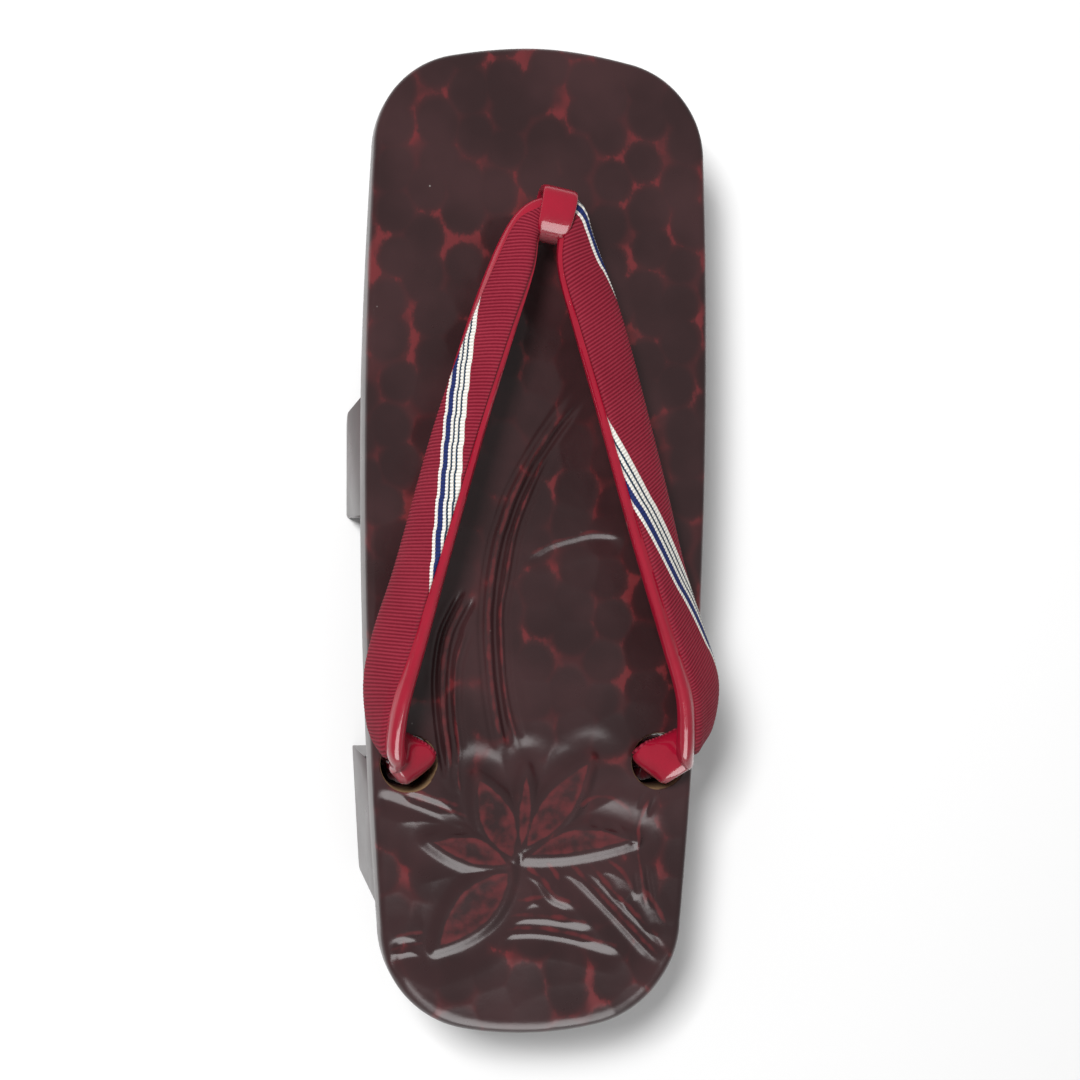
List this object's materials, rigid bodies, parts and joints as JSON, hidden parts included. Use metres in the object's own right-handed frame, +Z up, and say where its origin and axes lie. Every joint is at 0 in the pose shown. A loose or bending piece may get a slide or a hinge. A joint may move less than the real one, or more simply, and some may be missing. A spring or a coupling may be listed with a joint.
{
  "type": "geta sandal",
  "caption": "Wooden clog with a lacquered rectangular deck on a front tooth and a heel block, and a padded V-shaped thong strap.",
  "frame": {"origin": "middle of the bounding box, on the floor under the supports", "axes": "+Y towards the toe, +X to the wearer's right, +Z up"},
  "size_m": [0.0843, 0.235, 0.0729],
  "materials": {
    "lacquered_wood": "glossy black lacquer over red lacquer, gouge marks, red worn through at the ridges",
    "strap_cloth": "ribbed crimson cloth with white and navy stripes",
    "patent_leather": "glossy red patent",
    "tie_cord": "matt twisted cord"
  },
  "bodies": {
    "root": {"deck": "lacquered_wood", "front_tooth": "lacquered_wood", "heel_block": "lacquered_wood", "strap": "strap_cloth", "toe_thong": "patent_leather", "toe_knot": "tie_cord", "heel_knot_left": "tie_cord", "heel_knot_right": "tie_cord"}
  },
  "joints": []
}
